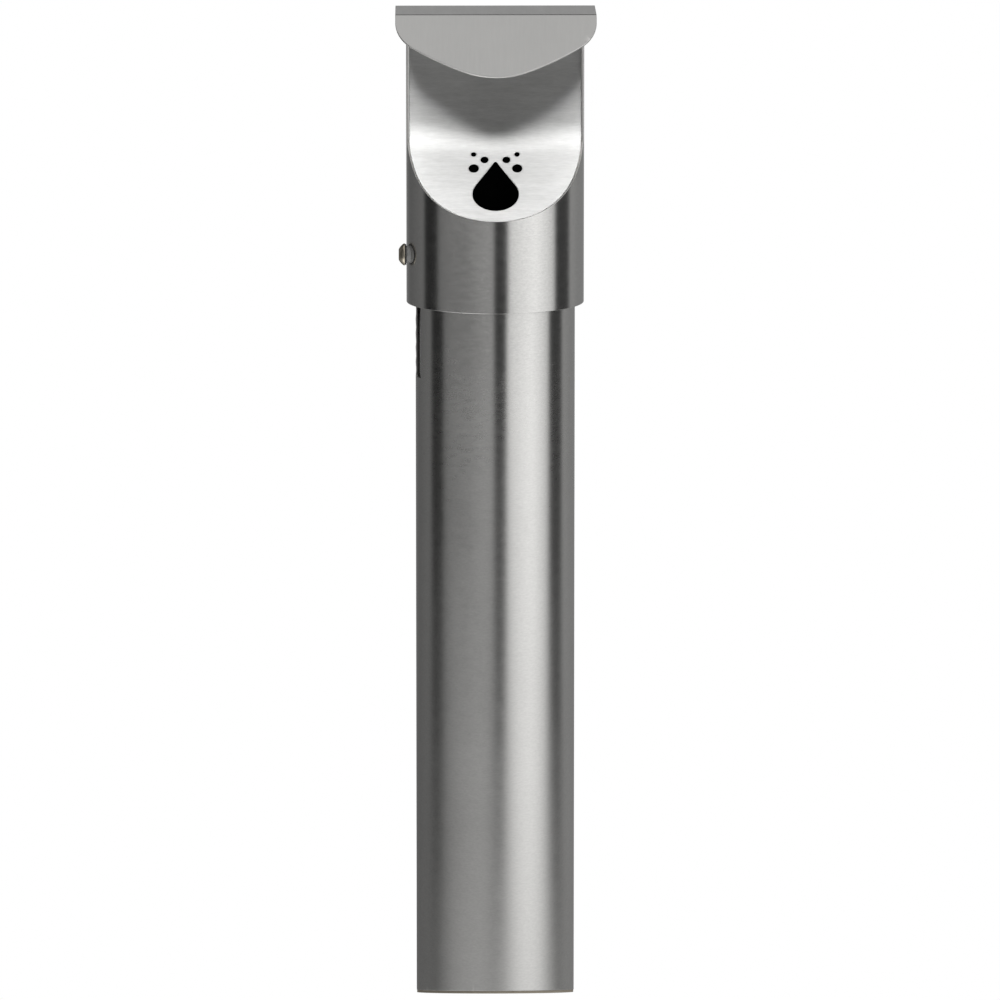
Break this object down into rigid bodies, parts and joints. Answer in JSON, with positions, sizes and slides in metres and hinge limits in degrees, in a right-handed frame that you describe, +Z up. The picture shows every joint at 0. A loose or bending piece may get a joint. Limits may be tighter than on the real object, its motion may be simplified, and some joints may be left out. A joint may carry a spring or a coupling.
{
  "type": "wall-mounted smoking-end receptacle",
  "caption": "Slim half-round stainless wall receptacle for cigarette ends: hooded head with a sloping holed plate, and a long canister that slides down out of the sleeve.",
  "frame": {"origin": "centre of the four wall-fixing holes, on the wall plane", "axes": "+X to the viewer's right, +Y into the wall so the front faces -Y, +Z up"},
  "size_m": [0.1258, 0.0862, 0.6384],
  "materials": {
    "head_steel": "fine brushed, grain across the width",
    "canister_steel": "fine brushed, grain around the tube",
    "plate_steel": "dull mill finish",
    "bolt_steel": "smooth, slightly warm",
    "guide_plastic": "matt black",
    "pad_plastic": "matt warm grey",
    "pad_rubber": "matt black"
  },
  "bodies": {
    "head": {"wall_plate": "plate_steel", "head_shell": "head_steel", "chute_plate": "head_steel", "canopy": "head_steel", "guide_strips": "guide_plastic", "lock_block": "guide_plastic", "bolt_seat": "head_steel", "lock_washer": "guide_plastic"},
    "canister": {"canister_shell": "canister_steel", "canister_back": "plate_steel", "canister_floor": "plate_steel", "base_pad": "pad_plastic", "back_pads": "pad_rubber"},
    "bolt": {"lock_bolt": "bolt_steel", "bolt_clip": "plate_steel"},
    "clamp": {"clamp_saddle": "plate_steel", "clamp_nut": "plate_steel"}
  },
  "joints": [
    {"name": "canister_slide", "type": "slide", "parent": "head", "child": "canister", "axis": [0, 0, 1], "range_m": [-0.09, 0.01]},
    {"name": "lock_turn", "type": "hinge", "parent": "head", "child": "bolt", "pos_m": [-0.0572, -0.013, -0.0352], "axis": [-1, 0, 0], "range_deg": [0, 360]},
    {"name": "clamp_travel", "type": "slide", "parent": "head", "child": "clamp", "axis": [1, 0, 0], "range_m": [0, 0.00126]}
  ],
  "couplings": [
    {"joint": "clamp_travel", "follows": "lock_turn", "m_per_rad": 0.00019894}
  ]
}
